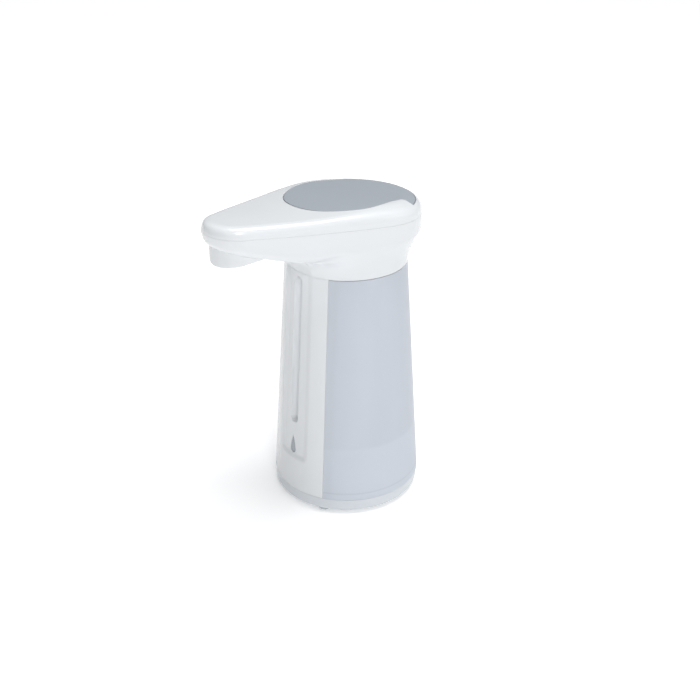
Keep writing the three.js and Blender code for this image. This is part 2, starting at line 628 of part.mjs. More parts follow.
add('contact_plate_rear', contactPlate(30.2, 30.7, 28.9), STEEL);
add('battery_door', batteryDoor(), PALE_GREY);
add('battery_door_pin', barX(DOOR.hingeY, DOOR.hingeZ, 0.6, -18, 18, 12), STEEL);
add('power_switch_body', box(-32, -23.8, SWITCH.y - 4, SWITCH.y + 8, 5.1, 9), DARK);
add('power_switch_knob', switchKnob(), DARK);
BASE_SCREWS.forEach(([x, y], i) => add(`base_screw_${i + 1}`, screw(x, y, 2.2, 12), STEEL));
add('drive_motor', motorBody(), STEEL);
const pinionPhase = Math.atan2(PUMP.z - MOTOR.z, PUMP.x - MOTOR.x);
const pinion = gear(MOTOR.x, MOTOR.z, 10, 0.6, -50, -47, pinionPhase);
add('motor_pinion', pinion.add(barY(MOTOR.x, MOTOR.z, 1, -51, -41.4, 12)), BRASS);
const gearPhase = pinionPhase + Math.PI + Math.PI / 24;
const driveGear = gear(PUMP.x, PUMP.z, 24, 0.6, -50, -47, gearPhase);
add('drive_gear', driveGear.add(barY(PUMP.x, PUMP.z, 1, -61.6, -46.2, 12)), ACETAL);
const pumpDriven = gear(PUMP.x, PUMP.z, 8, 1.2, -60.3, -54.8, 0).subtract(barY(PUMP.x, PUMP.z, 1.3, -62, -50, 12));
add('pump_drive_gear', pumpDriven, ACETAL);
const idler = gear(PUMP.x + PUMP.pitch, PUMP.z, 8, 1.2, -60.3, -54.8, Math.PI + Math.PI / 8);
add('pump_idler_gear', idler.add(barY(PUMP.x + PUMP.pitch, PUMP.z, 1, -61.6, -52.6, 12)), ACETAL);
add('pump_housing', pumpHousing(), MOULDED);
add('pump_cover', pumpCover(), MOULDED);
const suctionLine = [[-15.9, -55, 176.5], [-16.2, -49, 175.6], [-16.6, -38, 172], [-14.6, -22, 164],
  [SUCTION.x, SUCTION.y, 151], [SUCTION.x, SUCTION.y, 120], [SUCTION.x, SUCTION.y, 80], [SUCTION.x, SUCTION.y, 43.6]];
add('suction_tube', tube(suctionLine, 2.2, 1.2, 16), SILICONE);
add('suction_strainer', strainer(), MOULDED);
const outletLine = [[0.2, -62.9, 183.4], [0.2, -70, 183.2], [0.1, -76, 181.4], [0, -78.8, 179.2], [0, -79, 177.6]];
add('delivery_tube', tube(outletLine, 2.2, 1.5, 8), SILICONE);
add('nozzle_tip', nozzleTip(), SILICONE);
add('main_board', box(17.4, 18.6, -54, -28, 173.4, 184.4), BOARD);
add('sensor_board', box(-9, 9, -71, -63.2, 177.6, 178.8), BOARD);
add('ir_emitter', post(-3.6, SENSOR_Y, 1.5, 173, 177.3, 12), SMOKE);
add('ir_receiver', post(3.6, SENSOR_Y, 1.5, 173, 177.3, 12), SMOKE);
add('sensor_window', sensorWindow(), SMOKE);
NOSE_SCREWS.forEach(([x, y], i) => add(`nose_screw_${i + 1}`, screw(x, y, 171.4, 11), STEEL));
add('flat_cable', box(-4, 4, -30.4, -29.8, 14.5, 166), GREY_WIRE);

export default dispenser;
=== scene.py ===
import math

import bmesh
import bpy
import numpy as np
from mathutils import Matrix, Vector


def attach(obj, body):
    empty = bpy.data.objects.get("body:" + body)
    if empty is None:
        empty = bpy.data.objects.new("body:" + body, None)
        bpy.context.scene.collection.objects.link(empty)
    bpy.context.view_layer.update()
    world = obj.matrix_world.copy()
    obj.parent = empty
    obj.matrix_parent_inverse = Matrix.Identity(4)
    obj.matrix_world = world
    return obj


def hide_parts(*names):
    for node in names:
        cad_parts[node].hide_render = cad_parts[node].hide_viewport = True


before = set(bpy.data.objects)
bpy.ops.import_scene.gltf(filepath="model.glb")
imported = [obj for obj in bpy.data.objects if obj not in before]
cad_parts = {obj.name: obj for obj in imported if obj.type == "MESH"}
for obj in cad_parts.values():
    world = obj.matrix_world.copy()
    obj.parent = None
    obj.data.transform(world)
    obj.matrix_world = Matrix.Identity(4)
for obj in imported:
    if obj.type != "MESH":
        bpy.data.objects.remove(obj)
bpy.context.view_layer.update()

# ---- driving dimensions, in millimetres about the column axis, as in the CAD source ----
MM = 0.001
SHIFT_Y = 23.85

NECK_R = 36.0
NECK_Z = 150.0
FOOT_R = 45.4
SEAM_Z = 10.2
GAP = 0.3
WALL = 2.0

REAR_R, REAR_Y = 40.2, 4.6
NOSE_R, NOSE_Y = 18.5, -74.6
BULGE = 1.4
LEAN = math.asin((REAR_R - NOSE_R) / (REAR_Y - NOSE_Y))

PANEL_HALF_TOP, PANEL_HALF_BOTTOM = 20.6, 23.8
PANEL_THICK_MIDDLE, PANEL_THICK_SIDE = 5.1, 2.2
RECESS_HALF_TOP, RECESS_HALF_BOTTOM = 10.5, 11.8
RECESS_BOTTOM_Z, RECESS_TOP_Z, RECESS_DEPTH, RECESS_CORNER = 32.0, 160.5, 1.3, 3.0
GROOVE_HALF, GROOVE_BOTTOM_Z, GROOVE_TOP_Z, GROOVE_DEPTH = 3.4, 54.5, 147.0, 3.3
DROP_HALF, DROP_BOTTOM_Z, DROP_TIP_Z = 2.3, 33.8, 45.2
CHANNEL_BOTTOM_Y, CHANNEL_TOP_Y = -29.0, -25.4

FILL_Y, FILL_R = 3.0, 14.3
TANK_FLOOR_Z = 38.0
LID_THICK = 1.6
LID_REAR_R, LID_REAR_Y = 36.2, 39.6
LID_FRONT = [
    (0, -37.3), (8, -36.2), (15, -32.8), (20.5, -27.8), (24.5, -22), (27.5, -16), (29.2, -9.5),
    (29.3, -3), (28.3, 3.5), (27, 9), (26.2, 14), (26.1, 19.7), (28.2, 21.3), (31.7, 22.2),
]
HINGE_Y, HINGE_Z, HINGE_HALF = 41.1, 183.6, 7.0

NOZZLE_Y = -79.0
SHROUD_INSET, SHROUD_REAR_Y, SHROUD_TOP_Z, SHROUD_ROUND = 3.4, -69.4, 178.0, 1.1
SHROUD_FOOT_Z, SHROUD_RISE = 165, 0.2
SENSOR_Y = -66.2
DOOR_HALF, DOOR_FRONT_Y, DOOR_HINGE_Y, DOOR_HINGE_Z = 15.4, -23.4, 31.2, 3.4
SWITCH_X, SWITCH_Y = -28.0, -17.0
BASE_SCREWS = [(33, 0), (-33, 0), (0, 36)]
FEET = [(20, -34), (-20, -34), (20, 34), (-20, 34)]
NOSE_SCREWS = [(15, -66), (-15, -66)]


# ---- curves and surfaces ----
def smooth(x, a, b):
    """A soft step from 0 at a to 1 at b."""
    t = np.clip((np.asarray(x, float) - a) / (b - a), 0, 1)
    return t * t * (3 - 2 * t)


def lerp(a, b, t):
    return a + (b - a) * t


def monotone(xs, ys, x):
    """Smooth curve through points without overshoot (a monotone cubic)."""
    xs, ys = np.asarray(xs, float), np.asarray(ys, float)
    step = np.diff(xs)
    slope = np.diff(ys) / step
    product = slope[:-1] * slope[1:]
    inner = np.where(product > 0, 2 * slope[:-1] * slope[1:] / (slope[:-1] + slope[1:] + 1e-12), 0)
    m = np.concatenate([[slope[0]], inner, [slope[-1]]])
    x = np.clip(x, xs[0], xs[-1])
    k = np.clip(np.searchsorted(xs, x, side="right") - 1, 0, len(step) - 1)
    h = step[k]
    t = (x - xs[k]) / h
    return (
        ys[k] * (1 + 2 * t) * (1 - t) ** 2 + m[k] * h * t * (1 - t) ** 2
        + ys[k + 1] * t * t * (3 - 2 * t) + m[k + 1] * h * t * t * (t - 1)
    )


def cone_r(z):
    return NECK_R + (FOOT_R - NECK_R) * (NECK_Z - z) / (NECK_Z - SEAM_Z)


def panel_half(z):
    return PANEL_HALF_BOTTOM + (PANEL_HALF_TOP - PANEL_HALF_BOTTOM) * (z - 10) / 140


def parting_z(y):
    return 179.8 - 0.054 * y


def underside_z(y):
    return 162.5 - 0.272 * (y + 36)


def outline(inset, rear=120, side=44, nose=64):
    """The head's teardrop outline moved in by inset, counter-clockwise."""
    points = []

    def arc(r, cy, start, end, count):
        for i in range(count):
            a = lerp(start, end, i / count)
            points.append(((r - inset) * math.cos(a), cy + (r - inset) * math.sin(a)))

    def straight(sign, from_rear):
        nx, ny = sign * math.cos(LEAN), -math.sin(LEAN)
        for i in range(side):
            t = i / side if from_rear else 1 - i / side
            r = lerp(REAR_R, NOSE_R, t) - inset + BULGE * 4 * t * (1 - t)
            points.append((nx * r, lerp(REAR_Y, NOSE_Y, t) + ny * r))

    arc(REAR_R, REAR_Y, -LEAN, math.pi + LEAN, rear)
    straight(-1, True)
    arc(NOSE_R, NOSE_Y, math.pi + LEAN, 2 * math.pi - LEAN, nose)
    straight(1, False)
    return np.array(points)


def inset_at(x, y):
    """How far a point lies inside the head's outline."""
    x, y = np.abs(np.asarray(x, float)), np.asarray(y, float)
    rho = x / math.cos(LEAN)
    t = (REAR_Y - (y + math.sin(LEAN) * rho)) / (REAR_Y - NOSE_Y)
    side = lerp(REAR_R, NOSE_R, t) + BULGE * 4 * t * (1 - t) - rho
    rear = REAR_R - np.hypot(x, y - REAR_Y)
    nose = NOSE_R - np.hypot(x, y - NOSE_Y)
    return np.where(t < 0, rear, np.where(t > 1, nose, side))


def drop_at(inset, y):
    """How far the rounded shoulder falls below the top face."""
    front = monotone([0, 0.5, 1.4, 2.8, 5.5, 9], [4.4, 2.7, 1.2, 0.35, 0, 0], inset)
    rear = monotone([0, 0.6, 2.3, 5, 10.3, 14], [6.6, 5.1, 3.0, 1.55, 0.2, 0], inset)
    return lerp(front, rear, smooth(y, -34, 24))


def top_z(x, y):
    dome = 1.9 * np.exp(-(((y + 4) / 24) ** 2))
    return 188.4 - 0.026 * y + dome - 0.0008 * x * x - drop_at(inset_at(x, y), y)


def spline(points, spacing):
    """A smooth open line through points, with a point about every spacing."""
    p = np.array(points, float)
    length = np.concatenate([[0], np.cumsum(np.hypot(*np.diff(p, axis=0).T))])
    count = int(length[-1] / spacing) + 1
    s = np.linspace(0, length[-1], count)
    tangent = np.gradient(p, length, axis=0)
    k = np.clip(np.searchsorted(length, s, side="right") - 1, 0, len(p) - 2)
    h = (length[k + 1] - length[k])[:, None]
    t = (s - length[k])[:, None] / h
    return (
        p[k] * (1 + 2 * t) * (1 - t) ** 2 + tangent[k] * h * t * (1 - t) ** 2
        + p[k + 1] * t * t * (3 - 2 * t) + tangent[k + 1] * h * t * t * (t - 1)
    )


def lid_outline(grow=0.0, spacing=0.7):
    """The lid's outline from its front tip, counter-clockwise, with a pointed ear on each side."""
    front = spline([(-8, -36.2)] + LID_FRONT[:11], spacing)
    front = front[front[:, 0] >= 0]
    front[0] = (0, -37.3)
    step_in, step_out = (27.0, 20.7), (29.8, 21.8)
    ear_points = [LID_FRONT[10], LID_FRONT[11], step_in, LID_FRONT[12], step_out, LID_FRONT[13]]
    ear = spline(ear_points, spacing)
    tip = LID_FRONT[13]
    a0 = math.atan2(tip[1] - REAR_Y, tip[0])
    angle = np.linspace(a0, math.pi / 2, 70)[1:]
    rear = np.stack([LID_REAR_R * np.cos(angle), REAR_Y + LID_REAR_R * np.sin(angle)], 1)
    rear[:, 1] = LID_REAR_Y - np.log1p(np.exp((LID_REAR_Y - rear[:, 1]) * 3)) / 3
    right = np.concatenate([front, ear[1:], rear])
    left = right[1:-1][::-1] * (-1, 1)
    ring = np.concatenate([right, left])
    before, after = np.roll(ring, 1, 0), np.roll(ring, -1, 0)
    along = after - before
    along /= np.hypot(*along.T)[:, None]
    return ring + grow * np.stack([along[:, 1], -along[:, 0]], 1)


# ---- making meshes ----
def mesh_object(name, vertices, faces, smooth_angle=38):
    """A closed mesh from millimetre points, shaded smooth except at edges sharper than smooth_angle."""
    data = bpy.data.meshes.new(name)
    points = (np.asarray(vertices, float) + (0, SHIFT_Y, 0)) * MM
    data.from_pydata([tuple(p) for p in points], [], [tuple(int(i) for i in f) for f in faces])
    data.validate()
    piece = bpy.data.objects.new(name, data)
    bpy.context.scene.collection.objects.link(piece)
    tidy(piece, smooth_angle)
    return piece


def tidy(piece, smooth_angle=38):
    """Merges doubles, turns faces outwards and sets smooth shading with sharp edges."""
    made = bmesh.new()
    made.from_mesh(piece.data)
    bmesh.ops.remove_doubles(made, verts=made.verts, dist=2e-6)
    bmesh.ops.dissolve_degenerate(made, edges=made.edges, dist=1e-6)
    bmesh.ops.recalc_face_normals(made, faces=made.faces)
    for face in made.faces:
        face.smooth = True
    for edge in made.edges:
        edge.smooth = len(edge.link_faces) == 2 and edge.calc_face_angle(0) < math.radians(smooth_angle)
    made.to_mesh(piece.data)
    made.free()


def rings_mesh(name, rings, loop=False, smooth_angle=38):
    """A skin over closed rings of equal length. With loop the last ring joins the first.
    Without it the two ends are filled."""
    n = len(rings[0])
    vertices = np.concatenate(rings)
    faces = []
    count = len(rings)
    for k in range(count if loop else count - 1):
        a, b = k * n, ((k + 1) % count) * n
        faces += [(a + j, a + (j + 1) % n, b + (j + 1) % n, b + j) for j in range(n)]
    if not loop:
        faces.append(tuple(range(n))[::-1])
        faces.append(tuple(range((count - 1) * n, count * n)))
    return mesh_object(name, vertices, faces, smooth_angle)


def lathe(name, profile, segments=96, x=0.0, y=0.0, smooth_angle=38):
    """A solid of revolution about the vertical through (x, y), from a list of (radius, z)."""
    angles = np.arange(segments) * 2 * math.pi / segments
    rings = []
    for r, z in profile:
        r = max(r, 0.004)
        level = np.full(segments, float(z))
        rings.append(np.stack([x + r * np.cos(angles), y + r * np.sin(angles), level], 1))
    closed = profile[0] == profile[-1]
    return rings_mesh(name, rings[:-1] if closed else rings, closed, smooth_angle)


def rounded(profile, radius, steps=4):
    """The same open profile with its inner corners rounded by radius."""
    p = [np.array(q, float) for q in profile]
    out = [tuple(p[0])]
    for a, b, c in zip(p, p[1:], p[2:]):
        u, v = a - b, c - b
        r = min(radius, 0.45 * np.hypot(*u), 0.45 * np.hypot(*v))
        start, end = b + u / np.hypot(*u) * r, b + v / np.hypot(*v) * r
        for i in range(steps + 1):
            t = i / steps
            out.append(tuple(start * (1 - t) ** 2 + b * 2 * t * (1 - t) + end * t * t))
    return out + [tuple(p[-1])]


def block(name, x, y, z, radius=0.4):
    """A box with rounded edges, between two values on each axis."""
    made = bmesh.new()
    bmesh.ops.create_cube(made, size=1)
    size = (x[1] - x[0], y[1] - y[0], z[1] - z[0])
    middle = ((x[0] + x[1]) / 2, (y[0] + y[1]) / 2 + SHIFT_Y, (z[0] + z[1]) / 2)
    for v in made.verts:
        v.co = Vector([(v.co[k] * size[k] + middle[k]) * MM for k in range(3)])
    if radius:
        edges = made.edges[:]
        bmesh.ops.bevel(made, geom=edges, offset=radius * MM, segments=3, profile=0.5, affect="EDGES")
    data = bpy.data.meshes.new(name)
    made.to_mesh(data)
    made.free()
    piece = bpy.data.objects.new(name, data)
    bpy.context.scene.collection.objects.link(piece)
    tidy(piece)
    return piece


def bar_x(name, y, z, r, x0, x1, segments=32):
    """A round bar along X."""
    angles = np.arange(segments) * 2 * math.pi / segments
    round_y, round_z = y + r * np.cos(angles), z + r * np.sin(angles)
    return rings_mesh(name, [np.stack([np.full(segments, x), round_y, round_z], 1) for x in (x0, x1)])


def combine(piece, other, operation):
    """A boolean of two closed meshes. The other mesh is used up."""
    step = piece.modifiers.new("cut", "BOOLEAN")
    step.operation = operation
    step.solver = "MANIFOLD"
    step.object = other
    bpy.context.view_layer.update()
    seen = piece.evaluated_get(bpy.context.evaluated_depsgraph_get())
    data = bpy.data.meshes.new_from_object(seen)
    piece.modifiers.clear()
    old = piece.data
    piece.data = data
    bpy.data.meshes.remove(old)
    bpy.data.objects.remove(other)
    return piece


def cut(piece, *others):
    """Takes the other solids away from the piece."""
    for other in others:
        combine(piece, other, "DIFFERENCE")
    tidy(piece)
    return piece


def join(piece, *others):
    """Adds the other solids to the piece."""
    for other in others:
        combine(piece, other, "UNION")
    tidy(piece)
    return piece


# ---- materials ----
ROUGH_SPREAD = 0.05


def new_material(name):
    made = bpy.data.materials.new(name)
    made.use_nodes = True
    nodes = made.node_tree.nodes
    return made, nodes, made.node_tree.links, nodes["Principled BSDF"]


def moulded(name, colour, roughness=0.3, grain=0.02, grain_scale=900.0, mottle=0.012, coat=0.0,
            metallic=0.0, round_edge=0.0, specular=0.5):
    """Moulded plastic or plain metal: slight colour drift, uneven gloss, and fine surface texture."""
    made, nodes, links, shader = new_material(name)
    place = nodes.new("ShaderNodeTexCoord")
    drift = nodes.new("ShaderNodeTexNoise")
    drift.inputs["Scale"].default_value = 28
    drift.inputs["Detail"].default_value = 3
    links.new(place.outputs["Object"], drift.inputs["Vector"])
    tint = nodes.new("ShaderNodeMix")
    tint.data_type = "RGBA"
    low = tuple(max(0.0, c * (1 - mottle)) for c in colour)
    high = tuple(min(1.0, c * (1 + mottle)) for c in colour)
    tint.inputs["A"].default_value = (*low, 1)
    tint.inputs["B"].default_value = (*high, 1)
    links.new(drift.outputs["Fac"], tint.inputs["Factor"])
    links.new(tint.outputs["Result"], shader.inputs["Base Color"])
    spread = nodes.new("ShaderNodeMapRange")
    spread.inputs["To Min"].default_value = max(0.02, roughness - ROUGH_SPREAD)
    spread.inputs["To Max"].default_value = min(1.0, roughness + ROUGH_SPREAD)
    links.new(drift.outputs["Fac"], spread.inputs["Value"])
    links.new(spread.outputs["Result"], shader.inputs["Roughness"])
    fine = nodes.new("ShaderNodeTexNoise")
    fine.inputs["Scale"].default_value = grain_scale
    fine.inputs["Detail"].default_value = 2
    links.new(place.outputs["Object"], fine.inputs["Vector"])
    bump = nodes.new("ShaderNodeBump")
    bump.inputs["Strength"].default_value = grain
    bump.inputs["Distance"].default_value = 0.0002
    links.new(fine.outputs["Fac"], bump.inputs["Height"])
    if round_edge:
        edge = nodes.new("ShaderNodeBevel")
        edge.inputs["Radius"].default_value = round_edge * MM
        edge.samples = 4
        links.new(edge.outputs["Normal"], bump.inputs["Normal"])
    links.new(bump.outputs["Normal"], shader.inputs["Normal"])
    shader.inputs["Metallic"].default_value = metallic
    shader.inputs["Coat Weight"].default_value = coat
    shader.inputs["Coat Roughness"].default_value = 0.12
    shader.inputs["Specular IOR Level"].default_value = specular
    return made


def frosted(name, colour, through=0.3, roughness=0.35, glow=0.35, tint_and_light_bands=()):
    """Translucent plastic: part diffuse, part light passing through, part see-through, with flow marks.
    The tint changes below each of the bands. On the tank it is lighter where the floor shows through, and
    near the bottom a thin painted shade line sits above a painted highlight along the edge."""
    made, nodes, links, shader = new_material(name)
    place = nodes.new("ShaderNodeTexCoord")
    drift = nodes.new("ShaderNodeTexNoise")
    drift.inputs["Scale"].default_value = 45
    drift.inputs["Detail"].default_value = 2
    tint = nodes.new("ShaderNodeMix")
    tint.data_type = "RGBA"
    tint.inputs["A"].default_value = (*[c * 0.955 for c in colour], 1)
    tint.inputs["B"].default_value = (*[min(1.0, c * 1.045) for c in colour], 1)
    stretch = nodes.new("ShaderNodeMapping")
    stretch.inputs["Scale"].default_value = (1, 1, 0.12)
    links.new(place.outputs["Object"], stretch.inputs["Vector"])
    links.new(stretch.outputs["Vector"], drift.inputs["Vector"])
    links.new(drift.outputs["Fac"], tint.inputs["Factor"])
    # each band mixes in a tint; on the tank two of them are a painted shade line and a painted highlight
    # near the bottom
    for tint_and_light_band in tint_and_light_bands:
        tint = tint_below(nodes, links, place, tint, colour, *tint_and_light_band)
    links.new(tint.outputs["Result"], shader.inputs["Base Color"])
    spread = nodes.new("ShaderNodeMapRange")
    spread.inputs["To Min"].default_value = roughness - 0.04
    spread.inputs["To Max"].default_value = roughness + 0.04
    links.new(drift.outputs["Fac"], spread.inputs["Value"])
    links.new(spread.outputs["Result"], shader.inputs["Roughness"])
    fine = nodes.new("ShaderNodeTexNoise")
    fine.inputs["Scale"].default_value = 700
    links.new(place.outputs["Object"], fine.inputs["Vector"])
    bump = nodes.new("ShaderNodeBump")
    bump.inputs["Strength"].default_value = 0.03
    bump.inputs["Distance"].default_value = 0.0002
    links.new(fine.outputs["Fac"], bump.inputs["Height"])
    links.new(bump.outputs["Normal"], shader.inputs["Normal"])
    pass_on = nodes.new("ShaderNodeBsdfTranslucent")
    links.new(tint.outputs["Result"], pass_on.inputs["Color"])
    clear = nodes.new("ShaderNodeBsdfTransparent")
    clear.inputs["Color"].default_value = (*[min(1.0, c * 1.12) for c in colour], 1)
    first = nodes.new("ShaderNodeMixShader")
    first.inputs["Fac"].default_value = glow
    links.new(shader.outputs["BSDF"], first.inputs[1])
    links.new(pass_on.outputs["BSDF"], first.inputs[2])
    second = nodes.new("ShaderNodeMixShader")
    second.inputs["Fac"].default_value = through
    links.new(first.outputs["Shader"], second.inputs[1])
    links.new(clear.outputs["BSDF"], second.inputs[2])
    links.new(second.outputs["Shader"], nodes["Material Output"].inputs["Surface"])
    return made


def tint_below(nodes, links, place, tint, colour, height, reach, factor, strength):
    """Mixes in another tint below a height, in millimetres, over a soft edge of reach each way."""
    axes = nodes.new("ShaderNodeSeparateXYZ")
    links.new(place.outputs["Object"], axes.inputs["Vector"])
    amount = nodes.new("ShaderNodeMapRange")
    amount.interpolation_type = "SMOOTHSTEP"
    amount.inputs["From Min"].default_value = (height - reach) * MM
    amount.inputs["From Max"].default_value = (height + reach) * MM
    amount.inputs["To Min"].default_value = strength
    amount.inputs["To Max"].default_value = 0.0
    links.new(axes.outputs["Z"], amount.inputs["Value"])
    mixed = nodes.new("ShaderNodeMix")
    mixed.data_type = "RGBA"
    mixed.inputs["B"].default_value = (*[min(1.0, c * factor) for c in colour], 1)
    links.new(amount.outputs["Result"], mixed.inputs["Factor"])
    links.new(tint.outputs["Result"], mixed.inputs["A"])
    return mixed


def paint(piece, material):
    piece.data.materials.clear()
    piece.data.materials.append(material)


# height and half-width of each change of tint on the tank, then the tint's factor and strength below it:
# first a lighter tint where the floor shows through, then a thin painted shade line and a painted highlight
# along the bottom edge
TANK_TINT_AND_HIGHLIGHT_BANDS = [(44.5, 1.6, 1.07, 0.75), (15.0, 0.4, 0.90, 0.5), (14.0, 0.4, 1.10, 0.7)]
WHITE = (0.715, 0.735, 0.755)
GLOSS_WHITE = moulded("gloss_white_abs", WHITE, 0.24, grain=0.015, coat=0.25, round_edge=0.25)
SATIN_LID = moulded("satin_grey_abs", (0.330, 0.362, 0.398), 0.5, grain=0.10, grain_scale=1600,
                    mottle=0.02, specular=0.3)
WINDOW_GREY = moulded("window_grey_acrylic", (0.33, 0.36, 0.40), 0.12, coat=0.4)
TANK = frosted("frosted_tank", (0.72, 0.76, 0.82), through=0.2, glow=0.15, tint_and_light_bands=TANK_TINT_AND_HIGHLIGHT_BANDS)
BASE_GREY = moulded("base_pale_grey", (0.62, 0.655, 0.69), 0.34, grain=0.03, round_edge=0.2)
CLEAR_FOOT = frosted("clear_foot", (0.80, 0.83, 0.86), through=0.45, roughness=0.2, glow=0.3)
INNER_WHITE = moulded("inner_white_abs", (0.84, 0.85, 0.865), 0.5, grain=0.08, round_edge=0.15)
SILICONE = frosted("milky_silicone", (0.82, 0.835, 0.85), through=0.12, roughness=0.5, glow=0.3)
STEEL = moulded("bright_steel", (0.62, 0.63, 0.65), 0.3, grain=0.12, grain_scale=2400, metallic=1.0,
                mottle=0.04)
BRASS = moulded("brass", (0.72, 0.55, 0.24), 0.3, grain=0.08, metallic=1.0, mottle=0.05)
ACETAL = moulded("natural_acetal", (0.83, 0.81, 0.74), 0.38, grain=0.04)
CELL_WRAP = moulded("cell_wrap", (0.05, 0.075, 0.11), 0.25, grain=0.03, coat=0.4, mottle=0.06)
DARK = moulded("dark_plastic", (0.028, 0.031, 0.036), 0.5, grain=0.15, grain_scale=1500, mottle=0.08)
BOARD = moulded("green_solder_mask", (0.02, 0.14, 0.07), 0.35, grain=0.1, mottle=0.12)
SMOKE = moulded("smoked_acrylic", (0.03, 0.024, 0.034), 0.1, coat=0.5, mottle=0.05)
LED = frosted("led_epoxy", (0.82, 0.88, 0.97), through=0.3, roughness=0.15, glow=0.3)
CABLE = moulded("grey_flat_cable", (0.28, 0.30, 0.32), 0.5, grain=0.2, mottle=0.06)

SLOTS = {
    "white_gloss": GLOSS_WHITE, "lid_grey": SATIN_LID, "window_grey": WINDOW_GREY,
    "tank_translucent": TANK, "base_grey": BASE_GREY, "clear_foot": CLEAR_FOOT,
    "inner_white": INNER_WHITE, "silicone": SILICONE, "steel": STEEL, "brass_pinion": BRASS,
    "gear_white": ACETAL, "cell_wrap": CELL_WRAP, "dark_plastic": DARK, "board_green": BOARD,
    "infrared_black": SMOKE, "led_clear": LED, "cable_grey": CABLE,
}


def stand_in(piece, slot, *nodes, body="dispenser"):
    """Gives a finished piece its material, body and the CAD nodes it stands for."""
    paint(piece, SLOTS[slot])
    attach(piece, body)
    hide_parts(*nodes)
    return piece


# ---- the head's top cover ----
RAY_Y = 30.0


def spread_outwards(inner):
    """For each point of an inner ring, the head's outline point on the same ray from (0, RAY_Y)."""
    outer = outline(0)
    angle = np.unwrap(np.arctan2(outer[:, 1] - RAY_Y, outer[:, 0]))
    radius = np.hypot(outer[:, 0], outer[:, 1] - RAY_Y)
    order = np.argsort(angle % (2 * math.pi))
    turn = angle[order] % (2 * math.pi)
    wanted = np.arctan2(inner[:, 1] - RAY_Y, inner[:, 0]) % (2 * math.pi)
    found = np.interp(wanted, turn, radius[order], period=2 * math.pi)
    return np.stack([found * np.cos(wanted), RAY_Y + found * np.sin(wanted)], 1)


def at_height(points, z):
    return np.column_stack([points, np.broadcast_to(z, len(points))])


def fill_ring(inner, radius):
    """Points round the fill hole, matched in order to the points of the lid opening."""
    angle = np.unwrap(np.arctan2(inner[:, 1] - FILL_Y, inner[:, 0]))
    angle = np.maximum.accumulate(angle)
    share = (angle - angle[0]) / (2 * math.pi)
    even = np.arange(len(inner)) / len(inner)
    turn = angle[0] + 2 * math.pi * (0.7 * share + 0.3 * even)
    return np.stack([radius * np.cos(turn), FILL_Y + radius * np.sin(turn)], 1)


def top_cover():
    """The shell over the head. Its section goes up the side, over the top, into the lid's tray and back."""
    opening = lid_outline(0.35)
    rim = spread_outwards(opening)
    hole = fill_ring(opening, FILL_R + 0.2)
    rings = []
    base = parting_z(rim[:, 1]) + 0.01
    shoulder = top_z(rim[:, 0], rim[:, 1])
    centre = np.stack([np.zeros(len(rim)), np.clip(rim[:, 1], NOSE_Y, REAR_Y)], 1)
    out = rim - centre
    out /= np.hypot(*out.T)[:, None]
    inner_rim = rim - out * WALL
    # outer skin: up the side, over the shoulder and in to the lid opening
    for turn in np.linspace(0, math.pi / 2, 4):
        rounded_in = rim - out * 0.1 * (1 - math.sin(turn))
        rings.append(at_height(rounded_in, base + 0.1 * (1 - math.cos(turn))))
    for t in (0.35, 0.7, 1):
        rings.append(at_height(rim, lerp(base + 0.1, shoulder, t)))
    steps = 46
    for k in range(1, steps + 1):
        t = k / steps
        t = t * t * (3 - 2 * t) * 0.5 + 0.5 * t ** 1.6
        points = rim + (opening - rim) * t
        gap = np.hypot(*(points - opening).T)
        roll = np.where(gap < 0.3, 0.3 - np.sqrt(np.maximum(0.09 - (0.3 - gap) ** 2, 0)), 0)
        rings.append(at_height(points, top_z(points[:, 0], points[:, 1]) - roll))
    # recess wall, tray and fill hole
    wall_top = top_z(opening[:, 0], opening[:, 1])
    for t in (0.4, 0.7, 1):
        rings.append(at_height(opening, wall_top - lerp(0.3, LID_THICK + GAP, t)))
    for k in range(1, 15):
        points = opening + (hole - opening) * (k / 14)
        rings.append(at_height(points, top_z(points[:, 0], points[:, 1]) - LID_THICK - GAP))
    for k in range(14, 0, -1):
        points = opening + (hole - opening) * (k / 14)
        rings.append(at_height(points, top_z(points[:, 0], points[:, 1]) - 4.1))
    # inner skin back to the parting line
    for t in (0, 0.25, 0.5, 0.75, 0.9, 1):
        points = opening + (inner_rim - opening) * t
        height = np.minimum(top_z(points[:, 0], points[:, 1]) - lerp(4.1, WALL + 1.2, t), 184)
        rings.append(at_height(points, np.maximum(height, parting_z(points[:, 1]) + 1.5)))
    rings.append(at_height(inner_rim, parting_z(inner_rim[:, 1]) + 0.01))
    cover = rings_mesh("top_cover_shell", rings, loop=True)
    slot_half = HINGE_HALF + 0.4
    cut(cover, block("hinge_slot", (-slot_half, slot_half), (38.4, HINGE_Y + 1.9), (181.4, 190), 0.35))
    return stand_in(cover, "white_gloss", "head_top_cover")


# ---- the head's lower housing ----
FLARE_SHARE = [0, 0, 0.2, 0.36, 0.52, 0.65, 0.77, 0.88, 0.96, 1]
FLARE_Z = [150.3, 152, 157.9, 160.6, 162.9, 164.9, 166.6, 168, 169.6, 172]


